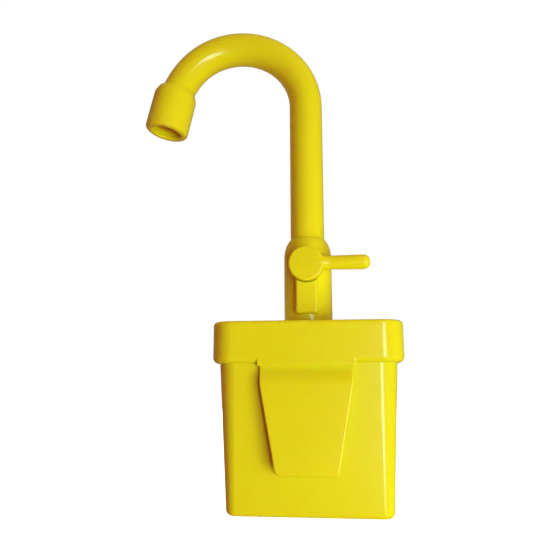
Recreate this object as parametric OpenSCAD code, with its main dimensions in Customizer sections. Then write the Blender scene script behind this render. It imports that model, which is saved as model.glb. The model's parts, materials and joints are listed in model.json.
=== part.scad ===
// Hook-on gooseneck tap: a battery pump box with a clip on its front, a quarter-turn lever
// valve on its lid, and a swivelling gooseneck spout. Millimetres, +Z up, origin at the
// centre of the box's flat bottom, under the tap's axis. The clip faces -Y.

/* [Box] */
// Width of the lid, which is the widest part of the box
lid_w = 73.8; // [66:0.2:90]
// Depth of the lid from front to back
lid_d = 46.2; // [42:0.2:56]
// Height of the lid's skirt
lid_h = 16.1; // [12:0.1:20]
// Corner radius of the lid in plan
lid_r = 8.8; // [7:0.1:11]
// Thickness of the lid's skirt
lid_t = 1.7; // [1.4:0.1:2]
// Thickness of the lid's top plate
lid_top_t = 2.2; // [1.8:0.1:3]
// Height of the box wall that shows below the lid
wall_h = 55.9; // [52:0.1:70]
// How far the lid stands out past the wall just below it
lid_step = 2.57; // [2.4:0.01:3.6]
// How much narrower the wall gets on each side down to the bottom
draft = 3.13; // [1:0.01:4]
// Thickness of the box's walls
wall_t = 1.8; // [1.4:0.1:2.4]
// Thickness of the box's floor
floor_t = 2; // [1.6:0.1:3]
// Rounding of the edges of the lid and the floor
edge_r = 2; // [1:0.1:2.5]

/* [Clip] */
// Width of the clip at its root under the lip
clip_w = 37; // [26:0.2:44]
// Width of the clip's flat plate at its lower end
clip_tip_w = 23.2; // [16:0.2:26]
// Thickness of the clip's plate
clip_t = 1.8; // [1.4:0.1:2.2]
// Height of the clip's lower edge above the bottom of the box
clip_tip_z = 15.5; // [8:0.1:20]
// Height of the bend between the lip and the flat plate
clip_bend_h = 7.2; // [4:0.1:9]
// How far the flat plate stands in front of the lid's front face
clip_proud = 0.9; // [0:0.1:2]
// Sideways place of the clip's middle
clip_x = -0.2; // [-4:0.05:4]
// How far the lip hangs below the lid
lip_drop = 1.1; // [0.8:0.1:2]

/* [Tap] */
// Radius of the tap's body
body_r = 10; // [9.4:0.1:12]
// Height of the body's straight side
body_h = 28.6; // [27:0.1:34]
// Height of the rounded shoulder on top of the body
shoulder_h = 7.8; // [6:0.1:9]
// Height of the lever's axis above the lid
lever_z = 23.3; // [21:0.1:24]
// Radius of the lever's disc
disc_r = 7; // [6:0.1:8]
// How far the disc's flat face stands in front of the tap's body
disc_proud = 7; // [6:0.1:10]
// Reach of the lever's tip from the tap's axis
lever_l = 25.35; // [18:0.05:40]
// Height of the lever's rod above the disc's axis
lever_rise = 0.4; // [0:0.1:1]
// Radius of the lever's round tip
lever_r = 2.9; // [2:0.1:3]
// Width of the bonnet block under the disc
bonnet_w = 8.8; // [7:0.1:10]
// Radius of the valve plug
plug_r = 3.6; // [3:0.1:3.8]
// Radius of the water way
way_r = 2.4; // [1.5:0.1:2.6]

/* [Spout] */
// Outer radius of the spout tube
spout_r = 7.19; // [6.9:0.01:7.6]
// Wall of the spout tube
spout_t = 2.6; // [1.8:0.1:3]
// Turn of the spout at rest, from straight out to the side towards the clip's side
spout_turn = 3.1; // [0:0.1:10]
// Height of the spout's straight leg above the lid
leg_h = 98.1; // [70:0.1:140]
// Radius of the gooseneck's main bend
bend_r = 29.5; // [22:0.1:45]
// Turn of the main bend
bend_a = 140; // [120:1:150]
// Radius of the wider bend down to the nozzle
tip_bend_r = 38.3; // [32:0.1:60]
// Turn of the wider bend
tip_bend_a = 27.7; // [15:0.1:32]
// Outer radius of the nozzle sleeve
nozzle_r = 9.56; // [9:0.02:11]
// Length of the nozzle sleeve above the tube's end
nozzle_up = 7; // [5:0.1:9]
// Length of the nozzle sleeve below the tube's end
nozzle_down = 13.6; // [10:0.1:18]
// Radius of the nozzle's outlet bore
outlet_r = 6.4; // [5.8:0.1:7.4]

/* [Power] */
// Radius of a battery cell
cell_r = 5.25; // [5.15:0.05:5.4]
// Length of a battery cell
cell_l = 44.5; // [43:0.1:45]
// Radius of the motor's can
motor_r = 10; // [9:0.1:10.2]
// Length of the motor's can
motor_l = 25; // [20:0.5:28]
// Radius of the pump housing
pump_r = 11; // [10.8:0.1:11.2]
// Sideways place of the pump and motor
pump_x = -17; // [-17.5:0.1:-16.5]
// Front-to-back place of the pump and motor
pump_y = -4; // [-4.4:0.1:-3.6]
// Radius of the motor's shaft
shaft_r = 1; // [0.8:0.1:1.2]
// Sideways place of the battery case
case_x = 8; // [7.6:0.1:9]
// Radius of the power button
button_r = 3.2; // [2.4:0.1:3.6]
// Travel of the power button
button_travel = 1.5; // [0.8:0.1:2]

/* [Fits] */
// Radial clearance of a shaft that turns or slides in a bore
fit = 0.05; // [0.02:0.01:0.1]
// Gap between pieces that pass each other
gap = 0.3; // [0.2:0.05:0.5]

/* [Hidden] */
$fn = 48;
HULL_FN = 40;
EPS = 0.01;

// Box
top_z = wall_h + lid_h;
under_lid_z = top_z - lid_top_t;
gasket_t = 1;
tub_h = under_lid_z - gasket_t;
slope = draft / wall_h;
tub_r = lid_r - 0.8;
wall_top_w = lid_w - 2 * lid_step;
wall_top_d = lid_d - 2 * lid_step;
wall_low_w = wall_top_w - 2 * draft;
wall_low_d = wall_top_d - 2 * draft;
wall_tilt = atan(slope);
function half_w(z) = wall_low_w / 2 + slope * z;
function half_d(z) = wall_low_d / 2 + slope * z;
function tub_corner_r(z) = max(tub_r - slope * (tub_h - z), edge_r + 0.5);

// Lid screws and their bosses
boss_r = 3;
boss_h = 20;
boss_at = tub_r * 0.35;
boss_x = half_w(tub_h) - wall_t - boss_at - 1.1;
boss_y = half_d(tub_h) - wall_t - boss_at - 1.1;
lid_screw_r = 1.25;
lid_screw_l = 10;
lid_screw_head_r = 2.4;
lid_screw_head_t = 1.2;

// Clip
lip_z = wall_h - lip_drop;
lip_t = 1.05;
clip_root_t = 1;
clip_root_h = 3;
clip_root_y = -lid_d / 2 + lip_t + 0.15;
clip_face_y = -lid_d / 2 - clip_proud;
clip_bend_z = lip_z - clip_bend_h;
clip_shoulder_w = clip_w - 2.2;
clip_corner_r = 1.8;
clip_bend_steps = 6;

// Tap
lever_at_z = top_z + lever_z;
disc_y = body_r + disc_proud;
tail_r = 6;
tail_h = 10.5;
tap_top_z = top_z + body_h + shoulder_h;
bush_t = 1;
spigot_r = spout_r - 1.1;
chamber_r = spigot_r + fit + bush_t;
spout_gap = 0.1;
spigot_l = 8;
chamber_z = tap_top_z - spigot_l - gap;
shoulder_top_r = spout_r + 0.2;
shoulder_sweep = 50;
plug_back_y = 6.2;
plug_front_y = -sqrt(body_r * body_r - plug_r * plug_r) + 0.1;
spindle_r = plug_r - 1.1;
disc_back_y = -body_r - 1.3;
spindle_l = 3;
ring_w = 0.95;
ring_r = ring_w / 2 - 0.02;
bonnet_y = -disc_y + 3.5;
bonnet_z = top_z + 3.8;
bonnet_back_y = -body_r + 2;
bonnet_ring_r = disc_r - 0.6;
lever_y = -disc_y + 3;
lever_root_r = lever_r - 0.23;
thread_nut_w = 19;

// Spout
bend_z = top_z + leg_h;
spout_bore_r = spout_r - spout_t;
tip_turn = bend_a + tip_bend_a;
tip_cx = -bend_r + (bend_r - tip_bend_r) * cos(bend_a);
tip_cz = bend_z + (bend_r - tip_bend_r) * sin(bend_a);
tip_x = tip_cx + tip_bend_r * cos(tip_turn);
tip_z = tip_cz + tip_bend_r * sin(tip_turn);
washer_t = 1.2;
insert_t = 9;
insert_r = outlet_r - 0.4;
insert_wall = 1.4;
insert_plate_t = 1.2;

// Pump and motor, from the floor upwards
strainer_r = 5;
seal_h = 2.5;
cover_z = floor_t + seal_h;
cover_t = 2.5;
housing_z = cover_z + cover_t;
chamber_h = 7;
housing_h = 11;
motor_z = housing_z + housing_h + 1;
collar_h = 5;
chamber_wall = 2.2;
outlet_at = pump_r + 4.2;
outlet_x = pump_x + outlet_at;
outlet_bore_r = 1.8;
outlet_pipe_r = 2.6;
hose_r = 3.8;
hose_z0 = housing_z + housing_h - 1;
hose_z1 = top_z - tail_h - 1;
impeller_r = pump_r - chamber_wall - 1.2;
endcap_t = 4;
pump_screw_at = pump_r - 1.15;
pump_screw_r = 0.7;

// Battery case, door and hinge, in the back wall's own tilted frame
cell_pitch = 2 * cell_r + 0.9;
case_wall = 1.2;
case_half = cell_pitch / 2 + cell_r + gap + case_wall;
case_depth = 2 * cell_r + 2 * gap + case_wall;
case_z = 3.2;
case_h = cell_l + 5.5;
cell_z = case_z + 2.4;
recess_t = 0.9;
door_gasket_t = 0.5;
door_t = 1.5;
door_y = -recess_t + door_gasket_t;
door_x0 = case_x - 18;
door_x1 = case_x + 14;
door_z = 4;
door_h = case_h - 2;
door_r = 2;
hatch_half = case_half - case_wall - 0.25;
hatch_z = case_z + 2.3;
hatch_h = cell_l + 0.5;
hinge_x = door_x1 + 1.4;
hinge_y = 1.4;
hinge_r = 1.4;
pin_r = 0.6;
knuckle_h = 4;
knuckle_z = [door_z + 4, door_z + door_h - 4 - 3 * knuckle_h];
door_screw_x = door_x0 + 2.5;
door_screw_z = door_z + door_h / 2;
door_screw_r = 0.95;
door_screw_l = 3.4;

// Power button on the lid
button_x = lid_w * 0.285;
button_y = lid_d * 0.13;
switch_r = button_r + 2.3;
switch_h = 7.3;
flange_t = 1.5;

// A rectangle with round corners, centred
module round_rect(w, d, r) {
    square([w - 2 * r, d], center = true);
    square([w, d - 2 * r], center = true);
    for (x = [-1, 1], y = [-1, 1])
        translate([x * (w / 2 - r), y * (d / 2 - r)]) circle(r);
}

// A round hole or rod along +Z from z
module rod(r, z, h) {
    translate([0, 0, z]) cylinder(r = r, h = h);
}

// A tube along +Z from z
module tube(r_out, r_in, z, h) {
    translate([0, 0, z]) difference() {
        cylinder(r = r_out, h = h);
        translate([0, 0, -EPS]) cylinder(r = r_in, h = h + 2 * EPS);
    }
}

// A ring of round section about +Z
module o_ring(mid_r, section_r, z) {
    translate([0, 0, z]) rotate_extrude() translate([mid_r, 0]) circle(section_r);
}

// A thin level slice through the box, moved in by inset
module tub_slice(z, inset) {
    translate([0, 0, z]) linear_extrude(EPS)
        round_rect(2 * (half_w(z) - inset), 2 * (half_d(z) - inset), tub_corner_r(z) - inset, $fn = HULL_FN);
}

// Places its children on the outside of the back wall: x across, y outwards, z up the wall
module on_back_wall() {
    translate([0, wall_low_d / 2, 0]) rotate([-wall_tilt, 0, 0]) children();
}

// Places its children at each corner screw
module at_lid_screws() {
    for (x = [-boss_x, boss_x], y = [-boss_y, boss_y]) translate([x, y, 0]) children();
}

module at_pump() {
    translate([pump_x, pump_y, 0]) children();
}

// Places its children at each screw of the pump
module at_pump_screws() {
    at_pump() for (a = [90, 210, 300]) rotate(a) translate([pump_screw_at, 0, 0]) children();
}

// Turns +Z forwards, so that children stand on the lever's axis and point to the front
module on_lever_axis() {
    translate([0, 0, lever_at_z]) rotate([90, 0, 0]) children();
}

// Turns the gooseneck's own plane to where the spout points at rest
module on_spout() {
    rotate([0, 0, spout_turn]) children();
}

// Puts children at the tube's end, with +Z along the water's way out
module at_tip() {
    on_spout() translate([tip_x, 0, tip_z]) rotate([0, -tip_turn, 0]) children();
}

// The knuckles of the hinge, from the first height, each h tall
module knuckle(z, h, bore_r) {
    translate([hinge_x, hinge_y, 0]) tube(hinge_r, bore_r, z, h);
}

module box_shell() color("gold") {
    difference() {
        union() {
            difference() {
                hull() {
                    for (a = [0:30:90]) tub_slice(edge_r * (1 - cos(a)), edge_r * (1 - sin(a)));
                    tub_slice(tub_h - EPS, 0);
                }
                hull() {
                    tub_slice(floor_t, wall_t);
                    tub_slice(tub_h + 1, wall_t);
                }
            }
            intersection() {
                at_lid_screws() rod(boss_r, tub_h - boss_h, boss_h);
                hull() {
                    tub_slice(floor_t, wall_t / 2);
                    tub_slice(tub_h - EPS, wall_t / 2);
                }
            }
            on_back_wall() translate([door_screw_x, 0, door_screw_z]) rotate([90, 0, 0])
                rod(2.6, wall_t / 2, 4.4);
            on_back_wall() for (z0 = knuckle_z, k = [0, 2]) {
                knuckle(z0 + k * knuckle_h, knuckle_h, pin_r);
                translate([hinge_x - 0.3, -wall_t / 2, z0 + k * knuckle_h])
                    cube([1.4, wall_t / 2 + 0.6, knuckle_h]);
            }
        }
        at_lid_screws() rod(lid_screw_r, tub_h - lid_screw_l, lid_screw_l + 1);
        at_pump() rod(strainer_r, -1, floor_t + 2);
        on_back_wall() {
            translate([door_x0 - gap, -recess_t, door_z - gap])
                cube([door_x1 - door_x0 + 2 * gap, recess_t + 3, door_h + 2 * gap]);
            translate([case_x - hatch_half, -wall_t - 1, hatch_z])
                cube([2 * hatch_half, wall_t + 2, hatch_h]);
            translate([door_screw_x, 0, door_screw_z]) rotate([90, 0, 0]) rod(1.4, -1, 5.4);
        }
    }
}

// The lid's rounded block, as far as its outside
module lid_block() {
    hull() for (a = [0:30:90]) {
        inset = edge_r * (1 - sin(a));
        rise = edge_r * (1 - cos(a));
        translate([0, 0, wall_h + rise]) linear_extrude(lid_h - 2 * rise)
            round_rect(lid_w - 2 * inset, lid_d - 2 * inset, lid_r - inset, $fn = HULL_FN);
    }
}

module lid() color("gold") {
    difference() {
        union() {
            lid_block();
            translate([clip_x - clip_w / 2, -lid_d / 2 + EPS, lip_z]) cube([clip_w, lid_t, lip_drop + 4]);
        }
        difference() {
            translate([0, 0, lip_z - 1]) linear_extrude(under_lid_z - lip_z + 1)
                round_rect(lid_w - 2 * lid_t, lid_d - 2 * lid_t, lid_r - lid_t);
            at_lid_screws() rod(boss_r - 0.4, tub_h, gasket_t + 1);
        }
        translate([clip_x - clip_w / 2 + 0.6, -lid_d / 2 + lip_t, lip_z - 1])
            cube([clip_w - 1.2, lid_t, clip_root_h + 2]);
        rod(tail_r, under_lid_z - 1, lid_top_t + 2);
        at_lid_screws() {
            rod(lid_screw_r, tub_h - 1, lid_top_t + 3);
            rod(lid_screw_head_r, top_z - lid_screw_head_t, lid_screw_head_t + 1);
        }
        translate([button_x, button_y, 0]) rod(button_r + fit, under_lid_z - 1, lid_top_t + 2);
    }
}

module lid_gasket() color("dimgray") {
    translate([0, 0, tub_h]) linear_extrude(gasket_t) difference() {
        round_rect(2 * half_w(tub_h) - 0.4, 2 * half_d(tub_h) - 0.4, tub_r - 0.2);
        round_rect(2 * (half_w(tub_h) - wall_t) + 0.2, 2 * (half_d(tub_h) - wall_t) + 0.2,
            tub_r - wall_t + 0.1);
        for (x = [-boss_x, boss_x], y = [-boss_y, boss_y]) translate([x, y]) circle(boss_r - 0.3);
    }
}

module lid_screws() color("silver") {
    at_lid_screws() {
        rod(lid_screw_r, tub_h - lid_screw_l + 0.5, top_z - lid_screw_head_t - tub_h + lid_screw_l - 0.5);
        difference() {
            rod(lid_screw_head_r, top_z - lid_screw_head_t, lid_screw_head_t - 0.1);
            for (a = [0, 90]) rotate(a)
                translate([-1.4, -0.25, top_z - 0.8]) cube([2.8, 0.5, 1]);
        }
    }
}

// Side outline of the clip: the root behind the lip, the bend outwards and the flat plate
function clip_bend_y(u) = clip_root_y + (clip_face_y - clip_root_y) * (1 - cos(180 * u)) / 2;
function clip_front() = [for (k = [0:clip_bend_steps])
    [clip_bend_y(k / clip_bend_steps), lip_z - clip_bend_h * k / clip_bend_steps]];
function clip_back() = [for (k = [clip_bend_steps:-1:0])
    [clip_bend_y(k / clip_bend_steps) + clip_root_t + (clip_t - clip_root_t) * k / clip_bend_steps,
        lip_z - clip_bend_h * k / clip_bend_steps]];

module hook_clip() color("gold") {
    intersection() {
        translate([clip_x - clip_w, 0, 0]) rotate([90, 0, 90]) linear_extrude(2 * clip_w) polygon(concat(
            [[clip_root_y, lip_z + clip_root_h]], clip_front(), [[clip_face_y, clip_tip_z]],
            [[clip_face_y + clip_t, clip_tip_z]], clip_back(),
            [[clip_root_y + clip_root_t, lip_z + clip_root_h]]));
        translate([clip_x, 0, 0]) rotate([90, 0, 0]) linear_extrude(lid_d) clip_outline();
    }
}

// Front outline of the clip: straight at the root, then tapering to round lower corners
module clip_outline() {
    r = clip_corner_r;
    polygon([[-clip_w / 2 + 0.9, lip_z + clip_root_h], [-clip_w / 2 + 0.9, lip_z],
        [-clip_shoulder_w / 2, clip_bend_z], [-clip_tip_w / 2, clip_tip_z + r],
        [clip_tip_w / 2, clip_tip_z + r], [clip_shoulder_w / 2, clip_bend_z],
        [clip_w / 2 - 0.9, lip_z], [clip_w / 2 - 0.9, lip_z + clip_root_h]]);
    translate([-clip_tip_w / 2 + r, clip_tip_z]) square([clip_tip_w - 2 * r, r]);
    for (x = [-1, 1]) translate([x * (clip_tip_w / 2 - r), clip_tip_z + r]) circle(r);
}

// Half outline of the tap body: straight side, then a shoulder on part of an ellipse
function shoulder_at(t) = [body_r - (body_r - shoulder_top_r) * (1 - cos(t)) / (1 - cos(shoulder_sweep)),
    top_z + body_h + shoulder_h * sin(t) / sin(shoulder_sweep)];

module tap_body() color("gold") {
    difference() {
        rotate_extrude() polygon(concat(
            [[0, top_z - tail_h], [tail_r, top_z - tail_h], [tail_r, top_z], [body_r, top_z]],
            [for (t = [0:shoulder_sweep / 8:shoulder_sweep]) shoulder_at(t)],
            [[0, tap_top_z]]));
        rod(way_r, top_z - tail_h - 1, tail_h + lever_z + spigot_l + 10);
        rod(way_r + 1.2, top_z - tail_h - 1, 7);
        rod(chamber_r, chamber_z, spigot_l + 10);
        on_lever_axis() rod(plug_r + fit, -plug_back_y - gap, plug_back_y + gap + body_r + 1);
    }
}

module tap_gasket() color("dimgray") {
    tube(tail_r + 3.4, tail_r, under_lid_z - gasket_t, gasket_t);
}

module lock_nut() color("ivory") {
    difference() {
        translate([0, 0, under_lid_z - gasket_t - 4.5])
            cylinder(r = thread_nut_w / 2 / cos(30), h = 4.5, $fn = 6);
        rod(tail_r, under_lid_z - 10, 12);
    }
}

module valve_plug() color("ivory") {
    difference() {
        on_lever_axis() {
            rod(plug_r, -plug_back_y, plug_back_y - plug_front_y);
            rod(spindle_r, -plug_front_y - 1, -disc_back_y + plug_front_y + spindle_l + 1);
        }
        on_lever_axis() for (y = [5, -6.6]) rotate_extrude()
            translate([plug_r - ring_w, -y - ring_w / 2]) square([ring_w + 1, ring_w]);
        translate([-plug_r - 1, 0, lever_at_z]) rotate([0, 90, 0]) rod(way_r, 0, 2 * plug_r + 2);
    }
}

module plug_o_rings() color("black") {
    on_lever_axis() for (y = [5, -6.6]) o_ring(plug_r - ring_w / 2, ring_r, -y);
}

module valve_bonnet() color("gold") {
    difference() {
        union() {
            translate([-bonnet_w / 2, bonnet_y, bonnet_z])
                cube([bonnet_w, bonnet_back_y - bonnet_y, lever_at_z - bonnet_z - 1]);
            on_lever_axis() rod(bonnet_ring_r, -bonnet_back_y, bonnet_back_y - disc_back_y - gap);
        }
        rod(body_r, top_z - 1, 60);
        on_lever_axis() {
            rod(spindle_r + fit, 0, 20);
            rod(disc_r + gap, -disc_back_y - gap, 20);
        }
    }
}

module lever_knob() color("gold") {
    difference() {
        union() {
            on_lever_axis() rotate_extrude() polygon([[0, -disc_back_y], [disc_r - 0.3, -disc_back_y],
                [disc_r, -disc_back_y + 0.3], [disc_r, disc_y - 0.5], [disc_r - 0.5, disc_y],
                [0, disc_y]]);
            translate([0, lever_y, lever_at_z + lever_rise]) rotate([0, 90, 0]) {
                translate([0, 0, 3]) cylinder(r1 = lever_root_r, r2 = lever_r, h = lever_l - lever_r - 3);
                translate([0, 0, lever_l - lever_r]) sphere(lever_r);
            }
        }
        on_lever_axis() rod(spindle_r, -disc_back_y - 1, spindle_l + 1);
    }
}

module swivel_bush() color("ivory") {
    tube(chamber_r, spigot_r + fit, tap_top_z - 5.5, 5.4);
}

module swivel_o_ring() color("black") {
    o_ring(spigot_r - 0.35 + ring_w / 2, ring_w / 2 + 0.13, chamber_z + 1.6);
}

// A length of the spout tube bent about a level axis, solid where wall is 0
module bend(r, a0, a, wall) {
    rotate([90, 0, 0]) rotate([0, 0, a0]) rotate_extrude(angle = a) translate([r, 0]) difference() {
        circle(spout_r);
        if (wall > 0) circle(spout_r - wall);
    }
}

module spout_leg() color("gold") {
    difference() {
        union() {
            rod(spigot_r, tap_top_z - spigot_l, spigot_l + 1);
            rod(spout_r, tap_top_z + spout_gap, bend_z - tap_top_z - spout_gap);
        }
        rod(spout_bore_r, tap_top_z - spigot_l - 1, bend_z);
        translate([0, 0, chamber_z + 1.6]) rotate_extrude()
            translate([spigot_r - 0.5, -0.7]) square([1, 1.4]);
    }
}

module spout_bend() color("gold") {
    on_spout() translate([-bend_r, 0, bend_z]) bend(bend_r, 0, bend_a, spout_t);
}

module spout_tip() color("gold") {
    on_spout() translate([tip_cx, 0, tip_cz]) bend(tip_bend_r, bend_a, tip_bend_a, spout_t);
}

module nozzle_sleeve() color("gold") {
    difference() {
        at_tip() rotate_extrude() polygon([[0, -nozzle_up], [nozzle_r - 1.4, -nozzle_up],
            [nozzle_r - 0.45, -nozzle_up + 1], [nozzle_r, -nozzle_up + 2.4],
            [nozzle_r, nozzle_down - 2], [nozzle_r - 0.6, nozzle_down - 0.6],
            [nozzle_r - 1.9, nozzle_down], [0, nozzle_down]]);
        on_spout() translate([tip_cx, 0, tip_cz]) bend(tip_bend_r, bend_a, tip_bend_a, 0);
        at_tip() rod(insert_r, -EPS, nozzle_down);
        at_tip() rod(outlet_r, washer_t + insert_t, nozzle_down);
    }
}

module nozzle_washer() color("black") {
    at_tip() tube(insert_r, insert_r - 2, 0, washer_t);
}

module nozzle_insert() color("goldenrod") {
    at_tip() difference() {
        rod(insert_r, washer_t, insert_t);
        rod(insert_r - insert_wall, washer_t + insert_plate_t, insert_t);
        rod(1.1, 0, 10);
        for (a = [0:60:300]) rotate(a) translate([3.4, 0, 0]) rod(1, 0, 10);
    }
}

module hose_adapter() color("ivory") {
    difference() {
        union() {
            rod(way_r + 1.2, top_z - tail_h - 1, 6.8);
            rod(tail_r + 1, top_z - tail_h - 2, 2);
            rod(outlet_pipe_r, top_z - tail_h - 9, 8);
        }
        rod(outlet_bore_r, top_z - tail_h - 10, 20);
    }
}

// Middle line of the hose: straight at both ends and an easy curve between
hose_rings = 14;
function hose_ease(u) = (1 - cos(180 * u)) / 2;
function hose_mid(u) = [outlet_x * (1 - hose_ease(u)), pump_y * (1 - hose_ease(u)),
    hose_z0 + 6 + (hose_z1 - hose_z0 - 13) * u];
function hose_path() = concat([[outlet_x, pump_y, hose_z0]],
    [for (k = [0:hose_rings]) hose_mid(k / hose_rings)], [[0, 0, hose_z1 - 1]]);

// One ring of a sweep: a polygon of given radius square to the path at its point k
function unit(v) = v / norm(v);
function path_dir(path, k) = unit(path[min(k + 1, len(path) - 1)] - path[max(k - 1, 0)]);
function side_dir(d) = unit(cross(abs(d[1]) < 0.9 ? [0, 1, 0] : [1, 0, 0], d));
function ring(path, k, r, sides) = let (d = path_dir(path, k), u = side_dir(d), v = cross(d, u))
    [for (s = [0:sides - 1]) path[k] + r * (cos(360 * s / sides) * u + sin(360 * s / sides) * v)];
function skin(rings, sides, first, turn) = [for (k = [0:rings - 2], s = [0:sides - 1])
    let (a = first + k * sides + s, b = first + k * sides + (s + 1) % sides)
        turn ? [a, b, b + sides, a + sides] : [a, a + sides, b + sides, b]];

// A solid round cable along a path
module cable(path, r, sides) {
    n = len(path);
    polyhedron(points = [for (k = [0:n - 1], p = ring(path, k, r, sides)) p],
        faces = concat(skin(n, sides, 0, false), [[for (s = [0:sides - 1]) s]],
            [[for (s = [sides - 1:-1:0]) (n - 1) * sides + s]]));
}

module riser_hose() color("whitesmoke") {
    sides = 16;
    path = hose_path();
    n = len(path);
    polyhedron(
        points = concat([for (k = [0:n - 1], p = ring(path, k, hose_r, sides)) p],
            [for (k = [0:n - 1], p = ring(path, k, outlet_pipe_r + 0.1, sides)) p]),
        faces = concat(skin(n, sides, 0, false), skin(n, sides, n * sides, true),
            [for (s = [0:sides - 1]) let (t = (s + 1) % sides)
                [s, t, n * sides + t, n * sides + s]],
            [for (s = [0:sides - 1]) let (t = (s + 1) % sides, e = (n - 1) * sides)
                [e + t, e + s, n * sides + e + s, n * sides + e + t]]));
}

module pump_housing() color("dimgray") {
    difference() {
        union() {
            at_pump() rod(pump_r, housing_z, housing_h + 1 + collar_h);
            translate([outlet_x, pump_y, 0]) rod(outlet_pipe_r + 1, housing_z + 1, housing_h - 2);
            translate([pump_x, pump_y - 2.6, housing_z + 1]) cube([outlet_at, 5.2, 6.2]);
            translate([outlet_x, pump_y, 0]) rod(outlet_pipe_r, hose_z0 - 1, 8);
        }
        at_pump() {
            rod(pump_r - chamber_wall, housing_z - 1, chamber_h + 1);
            rod(shaft_r + 0.6, housing_z, housing_h);
            rod(shaft_r + 2, housing_z + housing_h - 2.5, 4);
            rod(motor_r, motor_z, 20);
        }
        at_pump_screws() rod(pump_screw_r, housing_z - 1, 6);
        translate([outlet_x, pump_y, 0]) rod(outlet_bore_r, housing_z + 3, 30);
        translate([pump_x, pump_y, housing_z + 3.8]) rotate([0, 90, 0]) rod(outlet_bore_r, 0, outlet_at);
    }
}

module pump_cover() color("dimgray") {
    difference() {
        union() {
            at_pump() rod(pump_r, cover_z, cover_t);
            at_pump() for (a = [30, 150, 255]) rotate(a) translate([pump_r - 1.7, 0, 0])
                rod(1.5, floor_t, seal_h + 1);
        }
        at_pump() rod(3.2, cover_z - 1, cover_t + 2);
        at_pump_screws() rod(pump_screw_r, cover_z - 1, cover_t + 2);
    }
}

module pump_screws() color("silver") {
    at_pump_screws() {
        rod(pump_screw_r, cover_z, cover_t + 4.5);
        rod(1.1, cover_z - 1, 1);
    }
}

module inlet_seal() color("black") {
    at_pump() tube(7, strainer_r, floor_t, seal_h);
}

module intake_strainer() color("goldenrod") {
    at_pump() difference() {
        rod(strainer_r, 0.4, floor_t);
        rod(strainer_r - 1, 1.6, 3);
        for (x = [-3:1.5:3]) translate([x - 0.4, -sqrt(12 - x * x), -1])
            cube([0.8, 2 * sqrt(12 - x * x), 4]);
    }
}

module shaft_seal() color("black") {
    at_pump() tube(shaft_r + 2, shaft_r + fit, housing_z + housing_h - 2.5, 2.5);
}

module impeller() color("ivory") {
    at_pump() difference() {
        union() {
            rod(2.6, housing_z + 0.8, 5.4);
            rod(impeller_r, housing_z + 5.2, 1);
            for (a = [0:60:300]) rotate(a) translate([2, -0.5, housing_z + 0.8])
                cube([impeller_r - 2.2, 1, 5]);
        }
        rod(shaft_r, housing_z + 1.8, 10);
    }
}

module rotor_shaft() color("silver") {
    at_pump() rod(shaft_r, housing_z + 1.8, motor_z + motor_l + 2 - housing_z - 1.8);
}

module rotor_core() color("peru") {
    at_pump() difference() {
        union() {
            rod(2.6, motor_z + 3, motor_l - 6);
            for (a = [0:120:240]) rotate(a) intersection() {
                rod(motor_r - 3, motor_z + 5, motor_l - 11);
                translate([0, -4.6, motor_z]) cube([motor_r, 9.2, motor_l]);
            }
        }
        rod(shaft_r, motor_z, motor_l);
        for (a = [60:120:300]) rotate(a) translate([2.8, -1.2, motor_z]) cube([9, 2.4, motor_l]);
    }
}

module motor_magnets() color("darkslategray") {
    at_pump() difference() {
        tube(motor_r - 0.8, motor_r - 2.4, motor_z + 4, motor_l - 8);
        for (a = [0, 180]) rotate(a) translate([0, -3, motor_z]) cube([motor_r, 6, motor_l]);
    }
}

module motor_can() color("silver") {
    at_pump() difference() {
        rod(motor_r, motor_z, motor_l);
        rod(motor_r - 0.8, motor_z + 1.2, motor_l);
        rod(shaft_r + fit, motor_z - 1, 4);
    }
}

module motor_endcap() color("black") {
    at_pump() difference() {
        union() {
            rod(motor_r - 0.4, motor_z + motor_l, 2.2);
            rod(3, motor_z + motor_l, endcap_t);
        }
        rod(shaft_r + fit, motor_z + motor_l - 1, 3.2);
    }
}

module battery_case() color("dimgray") {
    on_back_wall() difference() {
        translate([case_x - case_half, -wall_t - case_depth, case_z])
            cube([2 * case_half, case_depth, case_h]);
        translate([case_x - case_half + case_wall, -wall_t - case_depth + case_wall, case_z + case_wall])
            cube([2 * (case_half - case_wall), case_depth, case_h - 2 * case_wall]);
    }
}

module battery_contacts() color("silver") {
    on_back_wall() {
        translate([case_x - cell_pitch / 2 - 4, -wall_t - case_depth + case_wall + 1, case_z + case_wall])
            cube([cell_pitch + 8, 8.6, 0.4]);
        for (x = [-1, 1]) translate([case_x + x * cell_pitch / 2 - 4,
            -wall_t - case_depth + case_wall + 1, case_z + case_h - case_wall - 0.4])
            cube([8, 8.6, 0.4]);
    }
}

module battery_cells() color("slategray") {
    on_back_wall() for (x = [-1, 1]) translate([case_x + x * cell_pitch / 2,
        -wall_t - case_depth + case_wall + gap + cell_r, 0]) {
        rod(cell_r, cell_z, cell_l - 1);
        rod(1.9, cell_z + cell_l - 1, 1);
    }
}

module door_gasket() color("black") {
    on_back_wall() difference() {
        translate([case_x - hatch_half - 1.5, -recess_t, hatch_z - 1.3])
            cube([2 * hatch_half + 3, door_gasket_t, hatch_h + 2.6]);
        translate([case_x - hatch_half - 0.2, -recess_t - 1, hatch_z - 0.2])
            cube([2 * hatch_half + 0.4, 3, hatch_h + 0.4]);
    }
}

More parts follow.
